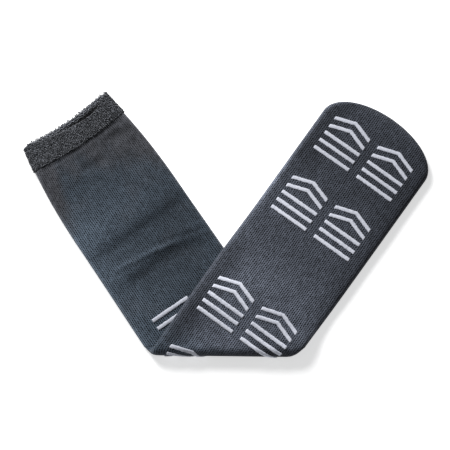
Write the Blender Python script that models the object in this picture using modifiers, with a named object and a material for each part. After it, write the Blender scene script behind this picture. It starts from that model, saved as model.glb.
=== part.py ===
"""A terry-lined slipper sock with rubber grip treads, lying slack and folded once.

The sock is one knitted tube, open at its cuff and closed round the toe. It lies flat on the floor with
its foot turned back over its leg along one slanted fold, sole upwards, so that leg and foot make a V.

Every surface is first laid out on the flat tube: along runs from the cuff's rim to the toe, across runs
from the middle to the tube's two rolled edges, and depth runs from the back and sole side (0) to the
front and instep side. One function then carries a point of the flat tube round the fold.
Sizes are metres, Z is up, and the leg's cuff opens towards +Y.
"""

import math
from collections import namedtuple

import bmesh
import bpy
import numpy as np

MM = 0.001

# The knitted tube, measured along its middle line
LEG_LENGTH = 256 * MM
FOOT_LENGTH = 294 * MM
TOE_DEPTH = 30 * MM
V_ANGLE = math.radians(69.7)

# Width of the flat tube: distance from the cuff's rim, width
TUBE_WIDTHS = (
    (0 * MM, 92 * MM),
    (25 * MM, 100 * MM),
    (50 * MM, 106 * MM),
    (85 * MM, 110.2 * MM),
    (125 * MM, 111 * MM),
    (183 * MM, 112 * MM),
    (260 * MM, 113 * MM),
    (400 * MM, 115 * MM),
    (550 * MM, 115.5 * MM),
)

# Cloth: two layers and the air between them make the thickness of leg and foot
WALL = 2 * MM
MOUTH_THICKNESS = 14 * MM
LEG_THICKNESS = 11 * MM
FOOT_THICKNESS = 12 * MM
FOLD_THICKNESS = 7.5 * MM
PUFF_RUN = 55 * MM
EDGE_ROLL = 14 * MM
INSTEP_CROWN = 0.8 * MM
SOLE_CROWN = 1.2 * MM

# The foot lies over the leg, a little askew, and comes down to the floor beside it
LAYER_GAP = 1.6 * MM
FOLD_SLIP = 8.3 * MM
DRAPE_RUN = 62 * MM
DRAPE_LEAD = 10 * MM
DRAPE_EASE = 18 * MM
SLANT_RUN = 125 * MM

# The terry cuff, a thick band round the top of the leg
CUFF_HEIGHT = 25 * MM
CUFF_THICKNESS = 1.5 * MM
CUFF_WALL = 1.5 * MM
CUFF_STEP = 0.6 * MM
SEAT_GAP = 0.3 * MM
# The slack mouth gapes, and its rim sags towards the foot, its front layer more than its back
RIM_SAG_BACK = 2.5 * MM
RIM_SAG_FRONT = 8.5 * MM
RIM_SAG_RUN = 36 * MM
MOUTH_RUN = 70 * MM

# Grip treads: printed rubber strips in groups of three bars and two chevrons
STRIP_LENGTH = 39.4 * MM
STRIP_WIDTH = 3.8 * MM
STRIP_THICKNESS = 0.6 * MM
CHEVRON_RISE = 6.5 * MM
# Rows of the sole: name, distance of the heel-most bar from the toe. Columns: name, place of the middle
SOLE_ROWS = (("toe", 64 * MM), ("ball", 132.5 * MM), ("heel", 250 * MM))
SOLE_COLUMNS = (("left", -25 * MM), ("right", 23.5 * MM))
# Strips of a group: name, distance in front of its heel-most bar, rise of the middle
GROUP_STRIPS = (
    ("bar_a", 0 * MM, 0 * MM),
    ("bar_b", 8.5 * MM, 0 * MM),
    ("bar_c", 17 * MM, 0 * MM),
    ("chevron_a", 24.3 * MM, CHEVRON_RISE),
    ("chevron_b", 33.2 * MM, CHEVRON_RISE),
)
# The group printed on the front of the leg, and the one that the fold rolls under
FRONT_ROW_BEFORE_FOLD = 54 * MM
FRONT_COLUMN = -17.5 * MM
FRONT_STRIPS = ("bar_a", "bar_b")
ANKLE_ROW_FROM_TOE = 326.5 * MM
# Strips of the rolled group, and the share of each before it goes under
ANKLE_STRIPS = {"chevron_b": 0.88, "chevron_a": 0.68, "bar_c": 0.28}
WHOLE_STRIP = (0.0, 1.0)
STRIP_MIDDLE = 0.5

# Facets
EDGE_STEPS = 8
FACE_STEPS = 8
LEG_STEPS = 13
FOLD_STEPS = 10
FOOT_STEPS = 29
TOE_STEPS = 7
LAST_TOE_TURN = math.radians(82)
CUFF_STEPS = 3
STRIP_STEPS = 8
ROLLED_STRIP_STEPS = 15
STRIP_ROWS = 2

# Worked out from the sizes above
TUBE_LENGTH = LEG_LENGTH + FOOT_LENGTH
TOE_START = TUBE_LENGTH - TOE_DEPTH
FOLD_SLOPE = math.tan(V_ANGLE / 2)
BISECTOR = (math.sin(V_ANGLE / 2), math.cos(V_ANGLE / 2))
FOLD_LINE = (BISECTOR[1], -BISECTOR[0])
FOLD_AXIS = FOLD_THICKNESS + LAYER_GAP / 2
FOLD_ARC = math.pi * FOLD_AXIS
FOLD_END = LEG_LENGTH + FOLD_ARC / BISECTOR[1]
CUFF_INSET = CUFF_THICKNESS + SEAT_GAP

# A strip: its middle across, its heel-most place along, its rise, its face and the shares it spans
Tread = namedtuple("Tread", "name column along rise on_sole reach")

# Finishes: colour, roughness, metallic
KNIT_FINISH = ((0.050, 0.056, 0.068, 1), 0.95, 0)
CUFF_FINISH = ((0.040, 0.044, 0.052, 1), 1.0, 0)
TREAD_FINISH = ((0.62, 0.63, 0.72, 1), 0.6, 0)


def ease(start, end, value):
    """Smooth step from 0 at start to 1 at end."""
    share = np.clip((value - start) / (end - start), 0, 1)
    return share * share * (3 - 2 * share)


def half_width(along):
    """Half the flat tube's width, a smooth curve through the table's rows."""
    knots, widths = np.array(TUBE_WIDTHS).T
    slopes = np.gradient(widths, knots)
    row = np.clip(np.searchsorted(knots, along) - 1, 0, len(knots) - 2)
    step = knots[row + 1] - knots[row]
    share = (along - knots[row]) / step
    rest = 1 - share
    start = widths[row] * (1 + 2 * share) + slopes[row] * step * share
    end = widths[row + 1] * (1 + 2 * rest) - slopes[row + 1] * step * rest
    return (start * rest**2 + end * share**2) / 2


def past_fold(across, along):
    """Distance past the line where the fold begins, below 0 on the leg."""
    return -(across * BISECTOR[0] + (LEG_LENGTH - along) * BISECTOR[1])


def puff(distance, full):
    """Thickness at a distance from the fold, which pinches the tube."""
    return FOLD_THICKNESS + (full - FOLD_THICKNESS) * ease(0, PUFF_RUN, distance)


def thickness(across, along):
    """Thickness of the flat tube: pinched at the fold, slack at the mouth."""
    past = past_fold(across, along)
    gape = (MOUTH_THICKNESS - LEG_THICKNESS) * (1 - ease(0, MOUTH_RUN, along))
    leg = puff(-past, LEG_THICKNESS) + gape
    foot = puff(past - FOLD_ARC, FOOT_THICKNESS)
    return np.where(past < FOLD_ARC / 2, leg, foot)


def crowns(across, along):
    """How far the sole's face and the front's face fall away from the middle to the edge."""
    past = past_fold(across, along)
    sole = SOLE_CROWN * ease(0, PUFF_RUN, past - FOLD_ARC)
    front = INSTEP_CROWN * ease(0, PUFF_RUN, -past)
    return sole, front


def rim_sag(across, along, depth):
    """How far the slack cloth near the cuff's rim hangs towards the foot, most in its middle."""
    layer = RIM_SAG_BACK + (RIM_SAG_FRONT - RIM_SAG_BACK) * depth / MOUTH_THICKNESS
    bow = 1 - np.clip(across / half_width(along), -1, 1) ** 2
    return layer * bow * (1 - ease(0, RIM_SAG_RUN, along))


def place(across, along, depth):
    """Carries points of the flat tube into the world.

    The leg stays flat. The fold is a half turn about a level axis just above the leg. The foot comes
    back over the leg with a small gap, and past the leg's edge it comes down to the floor.
    """
    along = along + rim_sag(across, along, depth)
    past = past_fold(across, along)
    run = across * FOLD_LINE[0] + (LEG_LENGTH - along) * FOLD_LINE[1]
    turn = math.pi * np.clip(past / FOLD_ARC, 0, 1)
    run = run - FOLD_SLIP * turn / math.pi
    radius = FOLD_AXIS - depth
    over = np.maximum(past - FOLD_ARC, 0)
    out = np.minimum(past, 0) + radius * np.sin(turn) - over
    x = run * FOLD_LINE[0] - out * BISECTOR[0]
    y = run * FOLD_LINE[1] - out * BISECTOR[1]
    edge = half_width(LEG_LENGTH) - DRAPE_LEAD
    drop = ease(edge, edge + DRAPE_RUN, x) * ease(0, DRAPE_EASE, over)
    base = (puff(over, LEG_THICKNESS) + LAYER_GAP) * (1 - drop)
    lift = base + puff(over, FOOT_THICKNESS) - 2 * FOLD_AXIS
    z = FOLD_AXIS - radius * np.cos(turn) + np.where(past > FOLD_ARC, lift, 0)
    return np.stack([x, y, z], axis=-1)


def ring_shape():
    """The flat tube's section: across the faces (-1 to 1), out round the roll and up round the roll."""
    face = np.linspace(-1, 1, FACE_STEPS + 1)
    roll = np.linspace(math.pi / 2, -math.pi / 2, EDGE_STEPS + 1)[1:-1]
    right_out, right_up = np.cos(roll), np.sin(roll)
    across = np.concatenate([face, np.ones_like(roll), face[::-1], -np.ones_like(roll)])
    out = np.concatenate([0 * face, right_out, 0 * face, -right_out])
    up = np.concatenate([face**0, right_up, -(face**0), -right_up])
    return across, out, up


def tube_rings(rows, toe_turns, inset, raised=0):
    """World points of the tube's surface, one ring for each row, drawn in by inset from the outside.

    The rows near the fold slant with it. Round the toe the rings shrink as an ellipse, and their
    thickness closes over the same roll as the tube's edges.
    """
    face, out, up = ring_shape()
    row = rows[:, None] - inset * np.sin(toe_turns)[:, None]
    middle = (LEG_LENGTH + FOLD_END) / 2
    flat_run = (FOLD_END - LEG_LENGTH) / 2
    slope = FOLD_SLOPE * (1 - ease(flat_run, SLANT_RUN, np.abs(row - middle)))
    half = (half_width(row) - inset) * np.cos(toe_turns)[:, None]
    roll = np.minimum(EDGE_ROLL - inset, half / 2)
    across = face * (half - roll) + out * roll
    along = row + slope * across
    to_tip = (TOE_DEPTH - inset) * (1 - np.sin(toe_turns))[:, None]
    closing = np.sqrt(1 - (1 - np.clip(to_tip / (EDGE_ROLL - inset), 0, 1)) ** 2)
    full = thickness(across, along)
    sole, front = crowns(across, along)
    low = inset + sole * face**2 + raised
    high = full - inset - front * face**2
    depth = (low + high) / 2 + up * (high - low) / 2 * closing
    return place(across, along, depth)


def tube_rows():
    """Rows along the tube, cuff to toe, and the turn of each round the toe."""
    leg = np.linspace(CUFF_HEIGHT + SEAT_GAP, LEG_LENGTH, LEG_STEPS + 1)
    fold = np.linspace(LEG_LENGTH, FOLD_END, FOLD_STEPS + 1)[1:]
    foot = np.linspace(FOLD_END, TOE_START, FOOT_STEPS + 1)[1:]
    turns = np.linspace(0, LAST_TOE_TURN, TOE_STEPS + 1)[1:]
    toe = TOE_START + TOE_DEPTH * np.sin(turns)
    rows = np.concatenate([leg, fold, foot, toe])
    return rows, np.concatenate([np.zeros(len(rows) - TOE_STEPS), turns])


def cuff_rings(rows, inset, raised):
    return tube_rings(rows, np.zeros_like(rows), inset, raised)


def toe_tip(inset):
    along = TUBE_LENGTH - inset
    return place(0.0, along, thickness(0.0, along) / 2)


def ring_quads(rows, count, first):
    """Faces between neighbouring rings whose points start at the index first."""
    quads = []
    for row in range(rows - 1):
        start = first + row * count
        for point in range(count):
            after = (point + 1) % count
            quads.append((start + point, start + after, start + count + after, start + count + point))
    return quads


def grid_quads(rows, steps):
    """Faces of an open grid of points, steps along and rows across."""
    width = steps + 1
    starts = [row * width + step for row in range(rows) for step in range(steps)]
    return [(start, start + 1, start + width + 1, start + width) for start in starts]


def shell_mesh(name, outer, inner, tips):
    """A closed wall between an outer and an inner loft, open at the first ring, without tips at both."""
    rows, count = outer.shape[:2]
    points = [*outer.reshape(-1, 3), *inner.reshape(-1, 3), *tips]
    behind = rows * count
    faces = ring_quads(rows, count, 0) + ring_quads(inner.shape[0], count, behind)
    last_outer = behind - count
    last_inner = behind + (inner.shape[0] - 1) * count
    for point in range(count):
        after = (point + 1) % count
        faces.append((point, after, behind + after, behind + point))
        if tips:
            tip = behind + inner.shape[0] * count
            faces.append((last_outer + point, last_outer + after, tip))
            faces.append((last_inner + point, last_inner + after, tip + 1))
        else:
            faces.append((last_outer + point, last_outer + after, last_inner + after, last_inner + point))
    return outward_mesh(name, points, faces)


def outward_mesh(name, points, faces):
    mesh = bpy.data.meshes.new(name)
    mesh.from_pydata([tuple(map(float, point)) for point in points], [], faces)
    work = bmesh.new()
    work.from_mesh(mesh)
    bmesh.ops.recalc_face_normals(work, faces=work.faces)
    work.to_mesh(mesh)
    work.free()
    mesh.shade_smooth()
    return mesh


def finish_material(name, finish):
    colour, roughness, metallic = finish
    material = bpy.data.materials.new(name)
    material.use_nodes = True
    shader = material.node_tree.nodes["Principled BSDF"]
    shader.inputs["Base Color"].default_value = colour
    shader.inputs["Roughness"].default_value = roughness
    shader.inputs["Metallic"].default_value = metallic
    return material


def add_object(name, mesh, material, collection, parent):
    piece = bpy.data.objects.new(name, mesh)
    mesh.materials.append(material)
    collection.objects.link(piece)
    piece.parent = parent
    return piece


def sock_mesh():
    """The tube's wall. Its top is drawn in where the terry cuff sits on it."""
    rows, turns = tube_rows()
    top = np.linspace(0, CUFF_HEIGHT + SEAT_GAP, CUFF_STEPS + 1)
    outer = np.concatenate([cuff_rings(top, CUFF_INSET, 0 * MM), tube_rings(rows, turns, 0 * MM)])
    lining = cuff_rings(top, CUFF_INSET + CUFF_WALL, 0 * MM)
    inner = np.concatenate([lining, tube_rings(rows[1:], turns[1:], WALL)])
    return shell_mesh("sock", outer, inner, [toe_tip(0 * MM), toe_tip(WALL)])


def cuff_mesh():
    """The terry band round the top, proud of the leg at its sides and front, flat on the floor behind."""
    rows = np.linspace(0, CUFF_HEIGHT, CUFF_STEPS + 1)
    outer = cuff_rings(rows, -CUFF_STEP, CUFF_STEP)
    inner = cuff_rings(rows, CUFF_THICKNESS, 0 * MM)
    return shell_mesh("terry_cuff", outer, inner, [])


def face_depth(across, along, on_sole):
    """Depth of the sole's or the front's face at a point between the rolled edges."""
    share = across / (half_width(along) - EDGE_ROLL)
    sole, front = crowns(across, along)
    return np.where(on_sole, sole * share**2, thickness(across, along) - front * share**2)


def tread_mesh(tread):
    """A strip across the tube that follows its face, between two shares of its length.

    A chevron's middle is pushed towards the toe by its rise. The thickness comes from Solidify.
    """
    share = np.linspace(*tread.reach, STRIP_STEPS + 1)
    if tread.reach != WHOLE_STRIP:
        share = np.linspace(*tread.reach, ROLLED_STRIP_STEPS + 1)
        share = np.union1d(share, np.clip(STRIP_MIDDLE, *tread.reach))
    across = tread.column + (share - STRIP_MIDDLE) * STRIP_LENGTH
    bow = tread.rise * (1 - np.abs(2 * share - 1))
    slant = math.hypot(1, 2 * tread.rise / STRIP_LENGTH)
    side = np.linspace(-0.5, 0.5, STRIP_ROWS + 1)[:, None]
    along = tread.along + bow + side * STRIP_WIDTH * slant
    outside = -SEAT_GAP if tread.on_sole else SEAT_GAP
    points = place(across, along, face_depth(across, along, tread.on_sole) + outside)
    mesh = bpy.data.meshes.new(tread.name)
    corners = [tuple(map(float, point)) for point in points.reshape(-1, 3)]
    mesh.from_pydata(corners, [], grid_quads(STRIP_ROWS, len(share) - 1))
    if not tread.on_sole:
        mesh.flip_normals()
    return mesh


def sole_treads():
    """The rows and columns of the sole."""
    for row, from_toe in SOLE_ROWS:
        for side, column in SOLE_COLUMNS:
            for strip, ahead, rise in GROUP_STRIPS:
                along = TUBE_LENGTH - from_toe + ahead
                yield Tread(f"tread_{row}_{side}_{strip}", column, along, rise, True, WHOLE_STRIP)


def front_treads():
    """The bars on the front of the leg that the foot leaves uncovered."""
    for strip, ahead, rise in GROUP_STRIPS:
        if strip in FRONT_STRIPS:
            along = LEG_LENGTH - FRONT_ROW_BEFORE_FOLD + ahead
            yield Tread(f"tread_front_{strip}", FRONT_COLUMN, along, rise, False, WHOLE_STRIP)


def ankle_treads():
    """The strips of the sole's last group, as far as they roll round the fold before the floor."""
    column = SOLE_COLUMNS[0][1]
    for strip, ahead, rise in GROUP_STRIPS:
        if strip in ANKLE_STRIPS:
            along = TUBE_LENGTH - ANKLE_ROW_FROM_TOE + ahead
            reach = (WHOLE_STRIP[0], ANKLE_STRIPS[strip])
            yield Tread(f"tread_ankle_{strip}", column, along, rise, True, reach)


def build():
    for piece in list(bpy.data.objects):
        bpy.data.objects.remove(piece)
    collection = bpy.data.collections.new("slipper_sock")
    bpy.context.scene.collection.children.link(collection)
    base = bpy.data.objects.new("sock_base", None)
    collection.objects.link(base)

    sock = sock_mesh()
    cuff = cuff_mesh()
    add_object("sock", sock, finish_material("knit", KNIT_FINISH), collection, base)
    add_object("terry_cuff", cuff, finish_material("terry", CUFF_FINISH), collection, base)
    rubber = finish_material("tread_rubber", TREAD_FINISH)
    for tread in (*sole_treads(), *front_treads(), *ankle_treads()):
        strip = add_object(tread.name, tread_mesh(tread), rubber, collection, base)
        solid = strip.modifiers.new("thickness", "SOLIDIFY")
        solid.thickness = STRIP_THICKNESS
        solid.offset = 1

    corners = np.array([vertex.co for mesh in (sock, cuff) for vertex in mesh.vertices])
    low, high = corners.min(axis=0), corners.max(axis=0)
    base.location = (-(low[0] + high[0]) / 2, -(low[1] + high[1]) / 2, 0)


build()
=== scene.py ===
# %% [markdown]
# # A terry-lined slipper sock
#
# The object is one knitted tube: a leg with a looped terry cuff, a foot with rubber grip treads printed on
# its sole, and a fold where the slack foot was turned back over the leg. The imported model already has the
# true sizes, as plain solids. This lesson dresses it: every surface is worked out again from the same
# sizes, on a finer grid, and then gets its creases, its stitches, its pile and its finish.

# %% Load the imported model
import math

import bpy
import numpy as np
from mathutils import Matrix, Vector


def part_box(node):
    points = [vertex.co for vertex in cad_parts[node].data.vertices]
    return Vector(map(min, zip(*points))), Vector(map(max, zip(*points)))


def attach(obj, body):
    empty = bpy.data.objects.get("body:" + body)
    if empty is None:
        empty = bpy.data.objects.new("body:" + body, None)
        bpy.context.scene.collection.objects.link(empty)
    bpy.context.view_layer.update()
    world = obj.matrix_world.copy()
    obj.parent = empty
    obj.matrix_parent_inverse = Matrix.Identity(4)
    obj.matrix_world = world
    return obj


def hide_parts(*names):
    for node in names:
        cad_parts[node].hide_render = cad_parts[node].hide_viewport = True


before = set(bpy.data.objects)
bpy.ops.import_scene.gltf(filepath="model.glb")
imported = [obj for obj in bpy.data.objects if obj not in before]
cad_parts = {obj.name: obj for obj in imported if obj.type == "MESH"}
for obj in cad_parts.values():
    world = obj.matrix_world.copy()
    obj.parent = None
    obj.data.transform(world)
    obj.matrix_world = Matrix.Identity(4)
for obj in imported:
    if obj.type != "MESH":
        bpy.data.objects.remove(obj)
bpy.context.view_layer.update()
tread_nodes = sorted(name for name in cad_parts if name.startswith("tread_"))
print("nodes", len(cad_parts), "treads", len(tread_nodes))

# %% [markdown]
# ## The flat tube
#
# A sock leaves the knitting machine as a flat tube, so it is easiest to describe flat: along runs from the
# cuff's rim to the toe, across runs from the middle to the two rolled edges, and depth runs from the back
# and sole side (0) to the front side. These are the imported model's own sizes, in millimetres. Working
# in millimetres keeps the numbers readable; one function at the end turns them into metres.

# %% Sizes of the flat tube
MM = 0.001
LEG_LENGTH = 256
FOOT_LENGTH = 294
TUBE_LENGTH = LEG_LENGTH + FOOT_LENGTH
TOE_DEPTH = 30
TOE_START = TUBE_LENGTH - TOE_DEPTH
WALL = 2
MOUTH_THICKNESS = 14
MOUTH_RUN = 70
LEG_THICKNESS = 11
FOOT_THICKNESS = 12
FOLD_THICKNESS = 7.5
PUFF_RUN = 55
EDGE_ROLL = 14
INSTEP_CROWN = 0.8
SOLE_CROWN = 1.2
CUFF_HEIGHT = 25
SEAT_GAP = 0.3
# Distance from the cuff's rim, width of the flat tube
TUBE_WIDTHS = np.array(
    [
        (0, 92),
        (25, 100),
        (50, 106),
        (85, 110.2),
        (125, 111),
        (183, 112),
        (260, 113),
        (400, 115),
        (550, 115.5),
    ]
)


def ease(start, end, value):
    """Smooth step: 0 before start, 1 after end, and 3 t^2 - 2 t^3 between them."""
    share = np.clip((value - start) / (end - start), 0, 1)
    return share * share * (3 - 2 * share)


def half_width(along):
    """Half the tube's width: a cubic through the table's rows that keeps each row's slope."""
    knots, widths = TUBE_WIDTHS.T
    slopes = np.gradient(widths, knots)
    row = np.clip(np.searchsorted(knots, along) - 1, 0, len(knots) - 2)
    step = knots[row + 1] - knots[row]
    share = (along - knots[row]) / step
    rest = 1 - share
    start = widths[row] * (1 + 2 * share) + slopes[row] * step * share
    end = widths[row + 1] * (1 + 2 * rest) - slopes[row + 1] * step * rest
    return (start * rest**2 + end * share**2) / 2


print("tube", TUBE_LENGTH, "mm long,", 2 * half_width(np.array([0.0, 400.0])), "mm wide at cuff and foot")

# %% [markdown]
# ## How thick the slack tube lies
#
# An empty sock is two layers of cloth with some air between them. They are pinched together at the fold,
# lie a little apart elsewhere, and gape at the mouth. The fold runs on a slant across the tube, half the
# V's angle away from square, so every thickness is a function of the distance past that slanted line.

# %% Thickness and crowns
V_ANGLE = math.radians(69.7)
LAYER_GAP = 1.6
FOLD_SLOPE = math.tan(V_ANGLE / 2)
BISECTOR = (math.sin(V_ANGLE / 2), math.cos(V_ANGLE / 2))
FOLD_LINE = (BISECTOR[1], -BISECTOR[0])
FOLD_AXIS = FOLD_THICKNESS + LAYER_GAP / 2
FOLD_ARC = math.pi * FOLD_AXIS
FOLD_END = LEG_LENGTH + FOLD_ARC / BISECTOR[1]


def past_fold(across, along):
    """Distance past the slanted line where the fold begins, below 0 on the leg."""
    return -(across * BISECTOR[0] + (LEG_LENGTH - along) * BISECTOR[1])


def puff(distance, full):
    """Thickness that swells smoothly from the pinched fold to its full value."""
    return FOLD_THICKNESS + (full - FOLD_THICKNESS) * ease(0, PUFF_RUN, distance)


def thickness(across, along):
    """Both layers and the air between: pinched at the fold, gaping a little at the mouth."""
    past = past_fold(across, along)
    gape = (MOUTH_THICKNESS - LEG_THICKNESS) * (1 - ease(0, MOUTH_RUN, along))
    leg = puff(-past, LEG_THICKNESS) + gape
    return np.where(past < FOLD_ARC / 2, leg, puff(past - FOLD_ARC, FOOT_THICKNESS))


def crowns(across, along):
    """How far the sole's and the front's faces fall away from the middle to the edge."""
    past = past_fold(across, along)
    sole = SOLE_CROWN * ease(0, PUFF_RUN, past - FOLD_ARC)
    return sole, INSTEP_CROWN * ease(0, PUFF_RUN, -past)


print("at the rim", thickness(0.0, 0.0), "mm thick, on the foot", thickness(0.0, 450.0))

# %% [markdown]
# ## The fold and the slack rim
#
# The foot is turned back over the leg, which makes the V. Bending cloth could be left to a simulation, but
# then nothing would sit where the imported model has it. Here the fold is a formula: past the fold line a
# point travels half a turn round a level axis, and then runs back over the leg. Where the leg ends
# sideways, the foot comes down to the floor. At the other end the mouth is slack: its front rim hangs
# further down than its back rim, and lower on the right, so that a strip of the back shows above it. The
# rim's two corners stand up a little, and their tips are blunt.

# %% Carry flat points round the fold
FOLD_SLIP = 8.3
SLIP_TURN = 0.6 * math.pi
FOLD_PINCH = 5
DRAPE_RUN = 62
DRAPE_LEAD = 10
DRAPE_EASE = 18
FRONT_DEPTH = (0.25 * MOUTH_THICKNESS, 0.6 * MOUTH_THICKNESS)
RIM_SAG_BACK = 1.6
RIM_SAG_FRONT = 9.4
RIM_SKEW = 0.45
RIM_RISE = 2.9
RIM_BLUNT, RIM_BLUNT_FROM = 2.9, 0.8
RIM_SAG_RUN = 36
SEAM_SAG = 1.2
SEAM_SAG_RUN = 14
# Where the middle of the leg meets the fold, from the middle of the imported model's box
FOLD_START = np.array([-101.928, -104.638, 0])


def rim_sag(across, along, depth):
    """How far the slack rim hangs towards the foot: powers of the side's share, fading out on the leg.

    The front layer hangs more than the back, most on the right; the cuff's seam a little, on the left.
    The corners rise with the side's square, less a smooth step that blunts their tips.
    """
    front = ease(*FRONT_DEPTH, depth)
    side = np.clip(across / half_width(along), -1, 1)
    back_rim = RIM_SAG_BACK * (1 - front) * (1 - RIM_SKEW * side) * (1 - side**2)
    front_rim = RIM_SAG_FRONT * front * (1 + RIM_SKEW * side) * (1 - side**4)
    blunt = RIM_BLUNT * (1 - RIM_SKEW * side) * ease(RIM_BLUNT_FROM, 1, np.abs(side)) ** 2
    hang = back_rim + front_rim + (blunt - RIM_RISE * side**2)
    seam = SEAM_SAG * front * (1 - side) * (1 - side**2)
    near_seam = np.exp(-(((along - CUFF_HEIGHT) / SEAM_SAG_RUN) ** 2))
    return hang * (1 - ease(0, RIM_SAG_RUN, along)) + seam * near_seam


def fold_point(across, along, depth):
    """Flat point to folded point: straight on the leg, radius * (sin, cos) of the turn in the fold.

    After the fold it runs back over the leg, at the height of what lies below.
    """
    along = along + rim_sag(across, along, depth)
    past = past_fold(across, along)
    turn = math.pi * np.clip(past / FOLD_ARC, 0, 1)
    run = across * FOLD_LINE[0] + (LEG_LENGTH - along) * FOLD_LINE[1]
    run = run - FOLD_SLIP * ease(0, SLIP_TURN, turn)
    left = np.clip(-across / half_width(along), 0, 1)
    run = run + FOLD_PINCH * np.sin(turn) ** 2 * left**2
    radius = FOLD_AXIS - depth
    over = np.maximum(past - FOLD_ARC, 0)
    out = np.minimum(past, 0) + radius * np.sin(turn) - over
    x = run * FOLD_LINE[0] - out * BISECTOR[0]
    y = run * FOLD_LINE[1] - out * BISECTOR[1]
    edge = half_width(LEG_LENGTH) - DRAPE_LEAD
    drop = ease(edge, edge + DRAPE_RUN, x) * ease(0, DRAPE_EASE, over)
    base = (puff(over, LEG_THICKNESS) + LAYER_GAP) * (1 - drop)
    lift = base + puff(over, FOOT_THICKNESS) - 2 * FOLD_AXIS
    z = FOLD_AXIS - radius * np.cos(turn) + np.where(past > FOLD_ARC, lift, 0)
    return np.stack([x, y, z], axis=-1) + FOLD_START


toe_tip = fold_point(0.0, float(TUBE_LENGTH), FOOT_THICKNESS / 2)
packed_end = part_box("sock")[1][0] / MM
print("toe tip at", toe_tip.round(1), "mm; packed sock ends at", round(packed_end, 1), "mm")

# %% [markdown]
# ## Creases one by one
#
# Slack cloth never lies quite flat. Sculpting or a cloth simulation would give some creases, but not these
# ones. The few that the eye notices are placed one by one in the sock's own sizes, each as a soft trough
# or ridge along a bowed line in the flat tube, and a low ripple covers the rest. Added to the face's
# height before folding, they bend the light like cloth does, and the treads can follow them too.

# %% Troughs and ridges
# Ends of each crease (across, along), bow of its middle towards the toe, width, height
FRONT_CREASES = np.array(
    [
        (-66, 125, 66, 122, 1.5, 5.5, -1.5),
        (-66, 135, 66, 131, 1.5, 13.0, -1.7),
        (-44, 143, 28, 153.5, -0.5, 1.8, 1.5),
        (-52, 166, 50, 166, -6.0, 7.0, -2.2),
        (-50, 176, 52, 176, -6.0, 14.0, -1.3),
        (2, 144, 54, 157.5, 0, 2.2, -1.0),
        (-16, 48, 14, 51, 1.0, 5.0, -1.2),
        (18, 36, 46, 40, 1.0, 4.0, -1.2),
        (-56, 100, 10, 104, 2.0, 8.0, 0.35),
        (-10, 84, 62, 72, -3.0, 10.0, -0.45),
        (-40, 60, 30, 66, 3.0, 9.0, -0.35),
        (8, 176, 62, 160, 2.0, 7.0, -0.5),
        (-58, 196, 20, 184, 3.0, 11.0, 0.4),
        (-60, 27.6, 60, 27.6, 0, 2.2, -0.9),
    ]
)
SOLE_CREASES = np.array(
    [
        (-58, 322, 20, 330, 3.0, 9.0, -0.45),
        (-10, 402, 58, 396, -3.0, 10.0, 0.35),
        (-58, 452, 40, 462, 4.0, 12.0, -0.35),
        (-30, 296, 58, 318, 3.0, 7.0, 0.4),
        (20, 500, 58, 470, 3.0, 9.0, -0.4),
    ]
)
CREASE_STARTS, CREASE_ENDS = (-0.05, 0.25), (0.75, 1.05)
# Each wave's length along and across, how much of the turn it takes, its height
RIPPLES = np.array([(15.5, 46, 1, 0.16), (-61, 17, 2.1, 0.16), (8.3, -12.7, 0.7, 0.06)])
FRONT_TURN, SOLE_TURN = 0.4, 1.9


def creases(table, across, along):
    """Sum of height * exp(-(distance to the bowed line / width)^2), fading out at both ends."""
    columns = table.T.reshape(7, len(table), *[1] * np.ndim(across))
    x0, y0, x1, y1, bow, width, height = columns
    length = np.hypot(x1 - x0, y1 - y0)
    dx, dy = (x1 - x0) / length, (y1 - y0) / length
    share = ((across - x0) * dx + (along - y0) * dy) / length
    away = (along - y0) * dx - (across - x0) * dy - bow * 4 * share * (1 - share)
    fade = ease(*CREASE_STARTS, share) * (1 - ease(*CREASE_ENDS, share))
    return (height * fade * np.exp(-((away / width) ** 2))).sum(axis=0)


def ripple(across, along, turn):
    """Low waves of the slack cloth: three sines of unlike lengths and directions."""
    down, aside, part, height = RIPPLES.T.reshape(4, len(RIPPLES), *[1] * np.ndim(across))
    return (height * np.sin(along / down + across / aside + part * turn)).sum(axis=0)


def front_relief(across, along):
    """Height added to the front face, which lies flat under the foot."""
    upwards = 1 - ease(-PUFF_RUN / 2, 0, past_fold(across, along))
    return upwards * (creases(FRONT_CREASES, across, along) + ripple(across, along, FRONT_TURN))


def sole_relief(across, along):
    """Height added to the back and sole face, which stays flat on the floor along the leg."""
    lying = ease(0, PUFF_RUN, past_fold(across, along) - FOLD_ARC)
    return lying * (creases(SOLE_CREASES, across, along) + ripple(across, along, SOLE_TURN))


print("creases", len(FRONT_CREASES), "on the front,", len(SOLE_CREASES), "on the sole")

# %% [markdown]
# ## The section and its stitches
#
# Cut across, the flat sock is a closed loop: two nearly flat faces joined by two rolled edges. A half
# circle would make the edges look like pipe, so each one is half a superellipse, which is a little fuller.
# The loop also counts its stitches: a column of knitting is a wale, a row is a course. The knit's finish
# will read both numbers as a UV map, so that the stitches follow the cloth round the fold.

# %% Section and stitch count
FACE_STEPS = 48
EDGE_STEPS = 22
EDGE_FULLNESS = 0.85
SOFT_ROLL = 8
WALES_PER_FACE = 58
COURSE = 2.0


def signed_power(value, power):
    """A power of the size that keeps the sign; of cosine and sine it fills out a circle's corners."""
    return np.sign(value) * np.abs(value) ** power


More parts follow.
